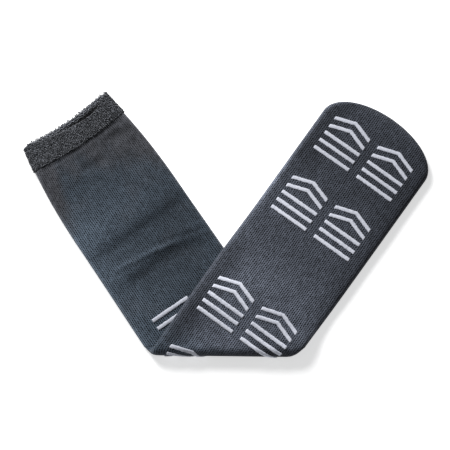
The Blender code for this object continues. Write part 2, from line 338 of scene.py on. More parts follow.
def section():
    """Face share from -1 to 1, then outwards and upwards round each rolled edge, as a closed loop.

    An edge is half a superellipse: signed powers of cosine and sine, fuller than a circle.
    """
    face = np.linspace(-1, 1, FACE_STEPS + 1)
    roll = np.linspace(math.pi / 2, -math.pi / 2, EDGE_STEPS + 1)[1:-1]
    cosine = signed_power(np.cos(roll), EDGE_FULLNESS)
    sine = signed_power(np.sin(roll), EDGE_FULLNESS)
    one, none = np.ones_like(face), np.zeros_like(face)
    edge = np.ones_like(roll)
    share = np.concatenate([face, edge, face[::-1], -edge])
    out = np.concatenate([none, cosine, none, -cosine])
    up = np.concatenate([one, sine, -one, -sine])
    return share, out, up


def stitch_count(across, depth, row):
    """Wales from the nearer face's middle: a triangle wave of the distance round the section."""
    ahead = np.roll(across, -1, axis=1) - across, np.roll(depth, -1, axis=1) - depth
    step = np.hypot(*ahead)
    around = np.cumsum(step, axis=1) - step
    quarter = step.sum(axis=1, keepdims=True) / 4
    from_middle = around - around[:, FACE_STEPS // 2, None]
    distance = quarter - np.abs((from_middle + quarter) % (4 * quarter) - 2 * quarter)
    return distance * WALES_PER_FACE / (2 * half_width(row))


print("section of", len(section()[0]), "points,", WALES_PER_FACE, "wales on each face")

# %% [markdown]
# ## Painted light and shade
#
# The cloth's light and dark regions are painted light and shade. The leg is painted lighter on its left
# and darker on its right, the sole lighter towards its heel; the left edge gets a painted highlight, and
# painted shade darkens the cloth where it turns under on the right, in its creases and round the fold.
# Painting that by hand would need an image. Here it is a sum of smooth steps, kept as one number for each
# point of the mesh.

# %% Painted light and shade on the cloth
# Painted light and shade along the tube: lighter and darker stretches of the leg, the sole lightest at its
# heel
# First tone, then where each change along the tube starts and ends, and how much it changes
LEG_TONE = 0.69
LEG_CHANGES = [(55, 105, 0.14), (128, 178, -0.15)]
FOOT_TONE = 1.53
FOOT_CHANGES = [(338, 402, -0.69), (425, 485, -0.26)]
# Painted light on the leg's left and a painted highlight on the left edge; painted shade on the leg's
# right, in its creases, down the sole's sides, under the right edge and round the fold
# Strength of each region, then where it fades in or out: as a share of the width, or along the tube
PAINTED_LIGHT_LEFT, PAINTED_LIGHT_SIDE, PAINTED_LIGHT_FROM = 0.38, (-1.0, 0.05), (70, 105)
PAINTED_SHADE_RIGHT, PAINTED_SHADE_SIDE, PAINTED_SHADE_FROM, PAINTED_SHADE_UNTIL = 0.17, (0.05, 0.75), (65, 95), (140, 165)
CREASE_SHADE, CREASE_LOW, CREASE_HIGH = 0.12, -4, 1
LEFT_SIDE = (0.4, 0.85)
LEFT_HEEL, LEFT_HEEL_UNTIL = 0.55, (350, 395)
LEFT_TOE, LEFT_TOE_FROM = 0.34, (430, 480)
RIGHT_SOLE, RIGHT_SOLE_SIDE = 0.2, (0.5, 0.9)
RIGHT_HEEL, RIGHT_HEEL_SIDE, RIGHT_HEEL_UNTIL = 0.65, (-0.05, 0.6), (300, 332)
EDGE_LEG, EDGE_HEEL, EDGE_TOE, EDGE_TOE_FROM = 0.7, 0.3, 1.6, (400, 440)
EDGE_HIGHLIGHT_OUT = (0.4, 0.9)
EDGE_UNDER, EDGE_UNDER_FROM = 0.48, (0.45, 0.9)
FOLD_SHADE, FOLD_SHADE_FROM = 0.5, (0.35, 1)


def tone_along(first, changes, along):
    """The first tone plus each change, eased in between its two places."""
    return first + sum(change * ease(start, end, along) for start, end, change in changes)


def leg_light_and_shade(across, along, side):
    """Painted light along the leg, more on the left, less on the right; painted shade by crease height."""
    painted_light = PAINTED_LIGHT_LEFT * (1 - ease(*PAINTED_LIGHT_SIDE, side)) * ease(*PAINTED_LIGHT_FROM, along)
    painted_shade = PAINTED_SHADE_RIGHT * ease(*PAINTED_SHADE_SIDE, side) * ease(*PAINTED_SHADE_FROM, along) * (1 - ease(*PAINTED_SHADE_UNTIL, along))
    tone = tone_along(LEG_TONE, LEG_CHANGES, along) + painted_light - painted_shade
    height = np.clip(creases(FRONT_CREASES, across, along), CREASE_LOW, CREASE_HIGH)
    return tone * (1 + CREASE_SHADE * height)


def foot_light_and_shade(along, side):
    """Painted light along the sole; smooth steps paint shade on both sides, most at the heel's right."""
    left = LEFT_HEEL * (1 - ease(*LEFT_HEEL_UNTIL, along)) + LEFT_TOE * ease(*LEFT_TOE_FROM, along)
    tone = tone_along(FOOT_TONE, FOOT_CHANGES, along) * (1 - left * ease(*LEFT_SIDE, -side))
    tone = tone * (1 - RIGHT_SOLE * ease(*RIGHT_SOLE_SIDE, side))
    return tone * (1 - RIGHT_HEEL * ease(*RIGHT_HEEL_SIDE, side) * (1 - ease(*RIGHT_HEEL_UNTIL, along)))


def painted_light_and_shade(across, along, out):
    """Leg or foot painted light, times painted edge highlight and painted shade under it and at the fold.
    """
    past = past_fold(across, along)
    side = across / half_width(along)
    on_foot = ease(FOLD_ARC / 2, FOLD_ARC, past)
    leg, foot = leg_light_and_shade(across, along, side), foot_light_and_shade(along, side)
    on_edge = EDGE_HEEL + (EDGE_TOE - EDGE_HEEL) * ease(*EDGE_TOE_FROM, along)
    # Painted highlight on the left edge; painted shade under the right edge and round the fold
    edge_highlight = 1 + (EDGE_LEG + (on_edge - EDGE_LEG) * on_foot) * ease(*EDGE_HIGHLIGHT_OUT, -out)
    under = 1 - EDGE_UNDER * on_foot * ease(*EDGE_UNDER_FROM, out)
    turn = np.sin(math.pi * np.clip(past / FOLD_ARC, 0, 1))
    folded = 1 - FOLD_SHADE * ease(*FOLD_SHADE_FROM, turn)
    return (leg + (foot - leg) * on_foot) * edge_highlight * under * folded


places = np.array([110.0, 450.0])
print("tone in the middle of leg and sole", painted_light_and_shade(0 * places, places, 0 * places).round(2))

# %% [markdown]
# ## The tube's surface
#
# The section is carried from the rim to the toe. That is a surface of two parameters, the place round the
# section and the row along the tube, so it comes out as one array of points with no loop over vertices.
# The same function draws the outside and, drawn in by the wall, the inside. Towards the fold the rows
# lean until they run along the fold line, because slanting rows bend cleanly and square ones would kink.

# %% Rings from rim to toe
SLANT_RUN = 125
LAST_TURN = math.radians(86)
LEG_STEP, FOLD_STEP, TOE_STEPS = 2.0, 0.9, 18


def tube_surface(rows, toe_turns, inset):
    """Rings of points for rows along the tube, drawn in by inset; round the toe they shrink as an ellipse.

    Rows near the fold slant with it. Depth is halfway between the faces plus up times half their distance.
    Each point also gets its stitch count and its painted light and shade.
    """
    share, out, up = section()
    turns = toe_turns[:, None]
    inset = np.broadcast_to(inset, rows.shape)[:, None]
    row = rows[:, None] - inset * np.sin(turns)
    from_middle = np.abs(row - (LEG_LENGTH + FOLD_END) / 2)
    slope = FOLD_SLOPE * (1 - ease((FOLD_END - LEG_LENGTH) / 2, SLANT_RUN, from_middle))
    half = (half_width(row) - inset) * np.cos(turns)
    roll = np.minimum(SOFT_ROLL - inset, half / 2)
    across = share * (half - roll) + out * roll
    along = row + slope * across
    to_tip = (TOE_DEPTH - inset) * (1 - np.sin(turns))
    closing = np.sqrt(1 - (1 - np.clip(to_tip / (EDGE_ROLL - inset), 0, 1)) ** 2)
    sole, front = crowns(across, along)
    low = np.maximum(inset, 0) + sole * share**2 - sole_relief(across, along)
    high = thickness(across, along) - inset - front * share**2 + front_relief(across, along)
    depth = (low + high) / 2 + up * (high - low) / 2 * closing
    count = np.stack([stitch_count(across, depth, row), along / COURSE], axis=-1)
    return fold_point(across, along, depth), count, painted_light_and_shade(across, along, out)


def tube_rows(leg_step, fold_step, toe_steps):
    """Rows from below the cuff to the toe, and each row's turn round the toe."""
    start = CUFF_HEIGHT + SEAT_GAP
    leg = np.linspace(start, LEG_LENGTH, round((LEG_LENGTH - start) / leg_step))
    fold = np.linspace(LEG_LENGTH, FOLD_END, round((FOLD_END - LEG_LENGTH) / fold_step))[1:]
    foot = np.linspace(FOLD_END, TOE_START, round((TOE_START - FOLD_END) / leg_step))[1:]
    turns = np.linspace(0, LAST_TURN, toe_steps + 1)[1:]
    rows = np.concatenate([leg, fold, foot, TOE_START + TOE_DEPTH * np.sin(turns)])
    return rows, np.concatenate([np.zeros(len(rows) - toe_steps), turns])


print("rows along the tube:", len(tube_rows(LEG_STEP, FOLD_STEP, TOE_STEPS)[0]))

# %% [markdown]
# ## From arrays to a mesh
#
# A mesh is a list of points and a list of faces that name them. Both are arrays here: faces between rings
# come from shifting an array of indices by one. A small check of the enclosed volume tells whether
# the faces look outwards, and turns them round if they don't. Every finished piece stays at the origin,
# unturned, with its place in its points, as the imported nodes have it.

# %% Meshes from arrays


def ring_faces(shape, first=0, closed=False):
    """Quads between neighbouring rings: index, the next one round, and the same two on the next ring.

    A closed row of rings ends with its first ring again.
    """
    index = first + np.arange(np.prod(shape)).reshape(shape)
    if closed:
        index = np.concatenate([index, index[..., :1, :]], axis=-2)
    after = np.roll(index, -1, axis=-1)
    corners = [index[..., :-1, :], after[..., :-1, :], after[..., 1:, :], index[..., 1:, :]]
    return np.stack(corners, axis=-1).reshape(-1, 4)


def cap_faces(ring, tip, flip):
    """Triangles from a ring's neighbours to a tip."""
    after = np.roll(ring, -1, axis=-1)
    pair = (after, ring) if flip else (ring, after)
    return np.stack([*pair, np.broadcast_to(tip, ring.shape)], axis=-1).reshape(-1, 3)


def enclosed(points, mesh):
    """Volume inside a closed mesh: a sixth of the sum of a . (b x c) over its triangles."""
    mesh.calc_loop_triangles()
    corners = np.empty(3 * len(mesh.loop_triangles), np.int32)
    mesh.loop_triangles.foreach_get("vertices", corners)
    a, b, c = points[corners.reshape(-1, 3)].transpose(1, 0, 2)
    return np.einsum("ij,ij->", a, np.cross(b, c)) / 6


def make_piece(name, points, face_groups, coordinates, slots, slot_of_group=None):
    """A finished piece at the origin: points in millimetres, each point's UV map, and its materials."""
    points = np.ascontiguousarray(points.reshape(-1, 3)) * MM
    mesh = bpy.data.meshes.new(name)
    faces = [face for group in face_groups for face in group.tolist()]
    mesh.from_pydata(points, [], faces)
    mesh.shade_smooth()
    if slot_of_group is not None:
        counts = [len(group) for group in face_groups]
        mesh.polygons.foreach_set("material_index", np.repeat(slot_of_group, counts).astype(np.int32))
    corner = np.empty(len(mesh.loops), np.int32)
    mesh.loops.foreach_get("vertex_index", corner)
    cloth = mesh.uv_layers.new(name="cloth")
    cloth.uv.foreach_set("vector", coordinates.reshape(-1, 2)[corner].astype(np.float32).ravel())
    volume = enclosed(points, mesh)
    if volume < 0:
        mesh.flip_normals()
    for material in slots:
        mesh.materials.append(material)
    piece = bpy.data.objects.new(name, mesh)
    bpy.context.scene.collection.objects.link(piece)
    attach(piece, "root")
    print(name, len(mesh.loop_triangles), "triangles,", round(abs(volume) * 1e6, 1), "cm3")
    return piece


print("five rings of eight points make", len(ring_faces((5, 8))), "faces")

# %% [markdown]
# ## Shader maths as expressions
#
# A material is a graph of small nodes. Wiring dozens of them by hand hides the formula, so this class
# wraps one output: adding or multiplying two wrapped values adds the Math node for it, and node() adds any
# other kind. Colours go through Mix nodes, because a Math node would turn them grey.

# %% A value in a node tree


class Value:
    """One output of a node tree that can be used in an expression."""

    def __init__(self, tree, socket=None):
        self.tree = tree
        self.socket = socket

    def node(self, kind, settings, values, output=0):
        """Adds a node of this kind: its settings first, then its sockets' values or links."""
        made = self.tree.nodes.new(kind)
        for name, value in settings.items():
            setattr(made, name, value)
        for name, value in values.items():
            if isinstance(value, Value):
                self.tree.links.new(value.socket, made.inputs[name])
            else:
                made.inputs[name].default_value = value
        return Value(self.tree, made.outputs[output] if made.outputs else None)

    def math(self, operation, *values):
        return self.node("ShaderNodeMath", {"operation": operation}, dict(enumerate(values)))

    def __add__(self, other):
        return self.math("ADD", self, other)

    def __sub__(self, other):
        return self.math("SUBTRACT", self, other)

    def __rsub__(self, other):
        return self.math("SUBTRACT", other, self)

    def __mul__(self, other):
        return self.math("MULTIPLY", self, other)

    __radd__ = __add__
    __rmul__ = __mul__

    def fract(self):
        return self.math("FRACT", self)

    def size(self):
        return self.math("ABSOLUTE", self)

    def step(self, start, end):
        """0 before start, 1 after end, smooth between."""
        values = {"Value": self, "From Min": start, "From Max": end, "To Min": 0.0, "To Max": 1.0}
        return self.node("ShaderNodeMapRange", {"interpolation_type": "SMOOTHSTEP"}, values)

    def between(self, first, second):
        """A colour mixed from two, by this value."""
        settings = {"data_type": "RGBA", "blend_type": "MIX"}
        return self.node("ShaderNodeMix", settings, {0: self, 6: first, 7: second}, output=2)

    def shaded(self, colour):
        """A colour made darker or lighter by this value."""
        grey = self.node("ShaderNodeCombineColor", {}, {0: self, 1: self, 2: self})
        settings = {"data_type": "RGBA", "blend_type": "MULTIPLY"}
        return self.node("ShaderNodeMix", settings, {0: 1.0, 6: colour, 7: grey}, output=2)


print("a value can be added, taken away, multiplied and stepped")

# %% [markdown]
# ## Helpers for every finish
#
# The three finishes of this sock need the same few things: an empty material, the piece's own map, noise
# in Object coordinates, which stays put in every view, a bump in millimetres and a Principled shader at
# the end. Bump only tilts the light and costs no faces, so it suits what is smaller than a stitch.

# %% Materials, maps, noise and bump
NOISE_ROUGHNESS = 0.55


def new_material(name):
    """An empty node tree with its own Value to start from."""
    material = bpy.data.materials.new(name)
    material.use_nodes = True
    material.node_tree.nodes.clear()
    return material, Value(material.node_tree)


def cloth_coordinates(start):
    """The two numbers of the piece's own UV map."""
    flat = start.node("ShaderNodeUVMap", {"uv_map": "cloth"}, {})
    parts = start.node("ShaderNodeSeparateXYZ", {}, {0: flat})
    return parts, Value(start.tree, parts.socket.node.outputs[1])


def noise(start, scale, detail=2.0):
    """Noise from 0 to 1 on Object coordinates, with a grain of about 1 / scale metres."""
    place = start.node("ShaderNodeTexCoord", {}, {}, output=3)
    values = {"Vector": place, "Scale": scale, "Detail": detail, "Roughness": NOISE_ROUGHNESS}
    return start.node("ShaderNodeTexNoise", {}, values)


def finish_surface(start, sockets):
    """Ends a material with a Principled shader."""
    shader = start.node("ShaderNodeBsdfPrincipled", {}, sockets)
    start.node("ShaderNodeOutputMaterial", {}, {"Surface": shader})


def bump(start, height, depth):
    """A normal tilted by a height from 0 to 1, which stands for this depth in millimetres."""
    return start.node("ShaderNodeBump", {}, {"Strength": 1.0, "Distance": depth * MM, "Height": height})


empty, first_value = new_material("empty")
print("a new tree has", len(first_value.tree.nodes), "nodes")
bpy.data.materials.remove(empty)

# %% [markdown]
# ## Stitches
#
# Seen from arm's length, fine knit is a lattice of small dark holes: light hardly reaches in where two
# wales meet between two courses. Modelling each stitch would take millions of faces, so a stitch is a
# formula of the fractions of the two counts in the UV map. Holes that were all alike would look printed.
# Each one is open by its own random amount, as in cloth that was worn and washed.

# %% One stitch as a formula
HOLE_LEAST = 0.4
HOLE_ASIDE, HOLE_BETWEEN = (0.2, 0.95), (0.1, 0.9)


def one_by_one(start, wale, course):
    """A random tone from 0 to 1 for each single stitch."""
    cell = {0: wale.math("FLOOR", wale), 1: course.math("FLOOR", course)}
    place = start.node("ShaderNodeCombineXYZ", {}, cell)
    return start.node("ShaderNodeTexWhiteNoise", {"noise_dimensions": "2D"}, {"Vector": place})


def stitches(start, wale, course, dotted):
    """Height of the knit: 1 on the yarn, less in the holes where two wales meet between two courses.

    Every other column of holes is half a course ahead, and each hole is open by its own random amount.
    """
    aside = (wale.fract() - 0.5).size() * 2
    column = wale + 0.5
    place = course + column.math("FLOOR", column) * 0.5
    between = (place.fract() - 0.5).size() * 2
    hole = aside.step(*HOLE_ASIDE) * (1 - dotted + dotted * between.step(*HOLE_BETWEEN))
    return 1 - hole * (HOLE_LEAST + (1 - HOLE_LEAST) * one_by_one(start, column, place + 0.5))


print("one stitch is", round(2 * half_width(110.0) / WALES_PER_FACE, 2), "mm wide and", COURSE, "mm long")

# %% [markdown]
# ## The knit's finish
#
# The yarn is a heather of grey and blue. It is bluer on the leg and greyer on the foot. Near the cuff and
# down the leg's left edge a warm cast of the light is painted in, with a patchy border that slants across
# the leg. The holes are painted dark as shade, single stitches differ, the terry lining behind makes a
# finer mottle, and the painted light and shade comes from the mesh. Short fibres on the surface scatter
# light towards grazing eyes, which is what sheen does.

# %% Dye, holes, mottle and sheen
KNIT_LEG = (0.0460, 0.0600, 0.0780, 1)
KNIT_FOOT = (0.051, 0.057, 0.072, 1)
# Warm cast of the light, painted near the cuff and down the leg's left edge
KNIT_WARM_LIGHT = (0.0555, 0.0575, 0.0660, 1)
WARM_UNTIL = (18 / COURSE, 84 / COURSE)
WARM_SLANT = 0.6
WARM_EDGE = (0.28 * WALES_PER_FACE, 0.5 * WALES_PER_FACE)
WARM_EDGE_REACH = 70 / COURSE
WARM_PATCHES = 1.6
FOOT_FROM = (240 / COURSE, 290 / COURSE)
PATCHES_PER_METRE, MOTTLES_PER_METRE, WANDERS_PER_METRE = 30.0, 150.0, 110.0
PATCH_LEAST, PATCH_SPREAD = 0.86, 0.28
MOTTLE_SPREAD, MOTTLE_WARM = 0.7, 0.8
WANDER = 0.9
DOTTED, DOTTED_FOOT = 0.75, 0.1
SOFT_WARM = 0.4
SHARP, SHARP_FROM = 0.25, (150 / COURSE, 190 / COURSE)
SINGLE_SPREAD, SINGLE_FOOT, SINGLE_HEIGHT = 0.4, 0.2, 0.2
STITCH_MIDDLE = 0.79
STITCH_SHADE = 4.2
STITCH_DARKEST = 0.03
STITCH_DEPTH = 0.6


def knit_material():
    """Dye with a painted warm cast, times stitch, patch, mottle and the painted light and shade."""
    material, start = new_material("knit")
    wale, course = cloth_coordinates(start)
    on_foot = course.step(*FOOT_FROM)
    patch = noise(start, PATCHES_PER_METRE, detail=3.0)
    lining = noise(start, MOTTLES_PER_METRE)
    edge = (0 - wale).step(*WARM_EDGE)
    near_cuff = 1 - (course - wale * WARM_SLANT - edge * WARM_EDGE_REACH).step(*WARM_UNTIL)
    warm = (near_cuff + (patch - 0.5) * WARM_PATCHES).step(0.0, 1.0) * (1 - on_foot)
    # The dye with the painted warm cast of the light mixed in
    dye_and_warm_light = on_foot.between(warm.between(KNIT_LEG, KNIT_WARM_LIGHT), KNIT_FOOT)
    # Painted light and shade, kept on the mesh
    painted_shading = start.node("ShaderNodeAttribute", {"attribute_name": "tone"}, {}, output=2)
    wander = (noise(start, WANDERS_PER_METRE) - 0.5) * WANDER
    wale, course = wale + wander, course + wander
    height = stitches(start, wale, course, DOTTED + DOTTED_FOOT * on_foot)
    contrast = 1 - SOFT_WARM * warm + SHARP * course.step(*SHARP_FROM)
    single = one_by_one(start, wale * 2, course)
    # Painted shade in the holes, lighter on the yarn between them
    stitch = 1 + (height - STITCH_MIDDLE) * STITCH_SHADE * contrast
    stitch = stitch.math("MAXIMUM", stitch, STITCH_DARKEST)
    stitch = stitch * (1 + (single - 0.5) * (SINGLE_SPREAD + SINGLE_FOOT * on_foot))
    mottle = 1 + (lining - 0.5) * (MOTTLE_SPREAD + MOTTLE_WARM * warm)
    light = stitch * (PATCH_LEAST + patch * PATCH_SPREAD) * mottle * painted_shading
    sockets = {
        "Base Color": light.shaded(dye_and_warm_light),
        "Roughness": 0.92,
        "Specular IOR Level": 0.18,
        "Sheen Weight": 0.3,
        "Sheen Roughness": 0.35,
        "Sheen Tint": (0.82, 0.84, 0.92, 1),
        "Normal": bump(start, height * contrast + single * SINGLE_HEIGHT, STITCH_DEPTH),
    }
    finish_surface(start, sockets)
    return material


KNIT = knit_material()
print("knit has", len(KNIT.node_tree.nodes), "nodes")

# %% [markdown]
# ## Terry
#
# Terry is knitted with a second yarn that stands up in loops. On the cuff the loops are real geometry; the
# cloth under them, and the lining inside the leg, only needs the look of a dense dark pile: a coarse noise
# as bump, dark between the loops as painted shade. The lining gets darker from the mouth inwards, which is
# painted shade inside the mouth. The loops carry their own map: one number for the yarn's tone and one for
# the height above the cloth, because the roots are painted in shade and the tips paler.

# %% The terry's finishes
# Dark roots as painted shade between the loops, paler tips; the lining's painted shade inside the mouth
TERRY_ROOT = (0.018, 0.020, 0.024, 1)
TERRY_TIP = (0.146, 0.153, 0.171, 1)
LINING_SHADE, LINING_DARKENS = 0.9, (3 / COURSE, 6 / COURSE)
PILES_PER_METRE, PILE_STEP, PILE_DEPTH = 520.0, (0.35, 0.75), 1.2
FIBRES_PER_METRE, FIBRE_LEAST, FIBRE_SPREAD, FIBRE_DEPTH = 1500.0, 0.8, 0.4, 0.15
LOOP_LEAST, LOOP_TIP = 0.3, (0.1, 1.0)


def terry_ground_material(name, shade):
    """Pile under the loops, mixed from root to tip by noise; painted shade darkens it away from the rim."""
    material, start = new_material(name)
    pile = noise(start, PILES_PER_METRE, detail=4.0)
    course = cloth_coordinates(start)[1]
    light = 1 - shade * course.step(*LINING_DARKENS)
    sockets = {
        "Base Color": light.shaded(pile.step(*PILE_STEP).between(TERRY_ROOT, TERRY_TIP)),
        "Roughness": 0.96,
        "Specular IOR Level": 0.1,
        "Sheen Weight": 0.1,
        "Normal": bump(start, pile, PILE_DEPTH),
    }
    finish_surface(start, sockets)
    return material


def terry_loop_material():
    """Yarn from painted shade at the root to the tip by its height, times its own tone and fibre grain."""
    material, start = new_material("terry_loops")
    tone, height = cloth_coordinates(start)
    fibre = noise(start, FIBRES_PER_METRE)
    light = (LOOP_LEAST + tone) * (FIBRE_LEAST + fibre * FIBRE_SPREAD)
    light = light.math("MAXIMUM", light, STITCH_DARKEST)
    sockets = {
        "Base Color": light.shaded(height.step(*LOOP_TIP).between(TERRY_ROOT, TERRY_TIP)),
        "Roughness": 0.95,
        "Specular IOR Level": 0.12,
        "Sheen Weight": 0.15,
        "Normal": bump(start, fibre, FIBRE_DEPTH),
    }
    finish_surface(start, sockets)
    return material


TERRY_GROUND = terry_ground_material("terry_ground", 0.0)
TERRY_LINING = terry_ground_material("terry_lining", LINING_SHADE)
TERRY_LOOPS = terry_loop_material()
print("terry finishes", TERRY_GROUND.name, TERRY_LINING.name, TERRY_LOOPS.name)

# %% [markdown]
# ## The sock
#
# The outside runs from the rim, where it is drawn in under the cuff, to the toe; the inside is the same
# tube drawn in by the wall. A Solidify modifier could make the wall too, but it would thicken the cloth
# along its normals, and the pinched fold has no room for that. A ring of faces joins both at the rim and
# a fan closes each toe, so the sock is one hollow closed mesh. The inside takes the terry lining.

# %% Outside and inside of the sock
CUFF_INSET = 1.8
CUFF_LINING = 3.3
CUFF_ROWS = 9
INSIDE_STEP, INSIDE_FOLD_STEP = 5.0, 2.0


def tube_with_top(inset_top, inset, leg_step, fold_step):
    """The tube's rings, with the rows under the cuff put in front."""
    top = np.linspace(0, CUFF_HEIGHT + SEAT_GAP, CUFF_ROWS)
    rows, turns = tube_rows(leg_step, fold_step, TOE_STEPS)
    rows = np.concatenate([top, rows])
    turns = np.concatenate([0 * top, turns])
    insets = np.where(np.arange(len(rows)) < len(top), inset_top, inset)
    return tube_surface(rows, turns, insets)


outside, outside_count, outside_tone = tube_with_top(CUFF_INSET, 0, LEG_STEP, FOLD_STEP)
inside, inside_count, inside_tone = tube_with_top(CUFF_LINING, WALL, INSIDE_STEP, INSIDE_FOLD_STEP)
tips_along = np.array([TUBE_LENGTH, TUBE_LENGTH - WALL], float)
tips = fold_point(0 * tips_along, tips_along, thickness(0 * tips_along, tips_along) / 2)
tips_count = np.stack([0 * tips_along, tips_along / COURSE], axis=-1)

rows_out, around = outside.shape[:2]
rows_in = inside.shape[0]
inside_first = rows_out * around
tip_first = inside_first + rows_in * around
outer_rim = np.arange(around)
inner_rim = inside_first + outer_rim
rim = np.stack([np.roll(outer_rim, -1), outer_rim, inner_rim, np.roll(inner_rim, -1)], axis=-1)
sock_faces = [
    ring_faces((rows_out, around)),
    cap_faces(inside_first - around + outer_rim, tip_first, False),
    ring_faces((rows_in, around), inside_first)[:, ::-1],
    cap_faces(tip_first - around + outer_rim, tip_first + 1, True),
    rim,
]
sock = make_piece(
    "knitted_sock",
    np.concatenate([outside.reshape(-1, 3), inside.reshape(-1, 3), tips]),
    sock_faces,
    np.concatenate([outside_count.reshape(-1, 2), inside_count.reshape(-1, 2), tips_count]),
    [KNIT, TERRY_LINING],
    [0, 0, 1, 1, 1],
)
# The painted light and shade is kept on the mesh as its tone
tones = np.concatenate([outside_tone.ravel(), inside_tone.ravel(), outside_tone[-1, :2]])
kept_tones = sock.data.attributes.new("tone", "FLOAT", "POINT")
kept_tones.data.foreach_set("value", tones.astype(np.float32))
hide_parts("sock")

# %% [markdown]
# ## The terry cuff
#
# The cuff is a thick soft band round the top of the leg. Its section, cut along the leg, is a rounded
# oblong: a superellipse, which is a circle with its corners filled out. A bevelled box section would show
# its flats under the loops. Carried round the tube's own section it closes on itself both ways, like a
# squashed ring.

# %% The cuff's band
CUFF_STEPS = 40
CUFF_OUT, CUFF_IN = -0.2, 1.5
CUFF_FULL_ALONG, CUFF_FULL_OUT = 0.35, 0.6


def cuff_section():
    """Place along and inset of the band's closed section: signed powers of cosine and sine."""
    turn = np.linspace(0, 2 * math.pi, CUFF_STEPS, endpoint=False)
    along = CUFF_HEIGHT / 2 * (1 - signed_power(np.cos(turn), CUFF_FULL_ALONG))
    outwards = signed_power(np.sin(turn), CUFF_FULL_OUT)
    return along, (CUFF_OUT + CUFF_IN) / 2 - (CUFF_IN - CUFF_OUT) / 2 * outwards


cuff_along, cuff_inset = cuff_section()
cuff_points, cuff_count, _ = tube_surface(cuff_along, 0 * cuff_along, cuff_inset)
cuff_faces = ring_faces((CUFF_STEPS, around), closed=True)
cuff = make_piece("terry_band", cuff_points, [cuff_faces], cuff_count, [TERRY_GROUND])
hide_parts("terry_cuff")

# %% [markdown]
# ## Where loops grow
#
# On the knitting machine every loop of the pile stands on one stitch, so the roots form a grid that is a
# little out of true. A particle system would scatter them at random, with no thought for rows. These roots
# are even steps round the tube's rows, each moved by a small random draw from one seeded generator, so
# that every run gives the same cuff.

# %% Roots on the cuff
draw = np.random.default_rng(20)
LOOP_SPACING = 1.65
LOOP_JITTER = 0.15
ROW_STEP = 0.2
OUTER_ROWS = (0.6, CUFF_HEIGHT - 1.2)


def roots(along_from, along_to, inset):
    """Jittered roots on the tube's surface, with their normal, direction along the leg and row's place.

    Each row's travel round the section is shared out evenly, and the nearest point takes the root.
    """
    spread = int((along_to - along_from) / LOOP_SPACING) + 1
    rows = np.linspace(along_from, along_to, spread)
    fine = tube_surface(rows, 0 * rows, inset)[0]
    down = tube_surface(rows + ROW_STEP, 0 * rows, inset)[0]
    round_step = np.roll(fine, -1, axis=1) - fine
    length = np.linalg.norm(round_step, axis=-1)
    travel = np.cumsum(length, axis=1)
    count = int(travel[:, -1].mean() / LOOP_SPACING)
    row = np.repeat(np.arange(spread), count)
    jitter = draw.uniform(-LOOP_JITTER, LOOP_JITTER, spread * count)
    share = (np.tile(np.arange(count), spread) + jitter) / count % 1
    ahead = (travel[row] / travel[row, -1, None] < share[:, None]).sum(axis=1) % fine.shape[1]
    slide = draw.uniform(-LOOP_JITTER, LOOP_JITTER, (len(row), 1)) * LOOP_SPACING
    slope = (down - fine)[row, ahead] / ROW_STEP
    around_way = round_step[row, ahead] / length[row, ahead, None]
    normal = np.cross(slope, around_way)
    normal /= np.linalg.norm(normal, axis=-1, keepdims=True)
    return fine[row, ahead] + slope * slide, normal, slope, rows[row]


outer_place, outer_normal, outer_slope, outer_along = roots(*OUTER_ROWS, CUFF_OUT)
print("roots on the outside", len(outer_place))

# %% [markdown]
# ## Loops of yarn
#
# Thousands of loops are one formula with a different root, direction and size each: half a ring of yarn,
# root + tangent * cos + normal * sin, with a small square section. Instances of one loop would look the
# same, but the export wants plain meshes, and arrays make all loops at once. Where the cuff lies on the
# floor its loops are pressed flat, and they get painted shade: darker on its right and along its two
# borders.

# %% Half rings on their roots
LOOP_HALF_WIDTH = 0.58
LOOP_HEIGHT = 1.1
LOOP_SIZES = (0.85, 1.2)
LOOP_TILT = 0.5
YARN_RADIUS = 0.35
LOOP_BENDS = 6
LOOP_TUCK = 0.15
YARN_SIDES = 4
FLOOR_CLEARANCE, FLOOR_GIVE = 0.12, 0.02
# Painted shade on the outside loops: on the cuff's right, by the rim and by the seam
LOOP_SHADE_RIGHT, LOOP_SHADE_SIDE = 0.12, (-0.7, 0.3)
LOOP_SHADE_RIM, LOOP_SHADE_RIM_UNTIL = 0.12, (2, 9)
LOOP_SHADE_SEAM, LOOP_SHADE_SEAM_FROM = 0.1, (17, 24)


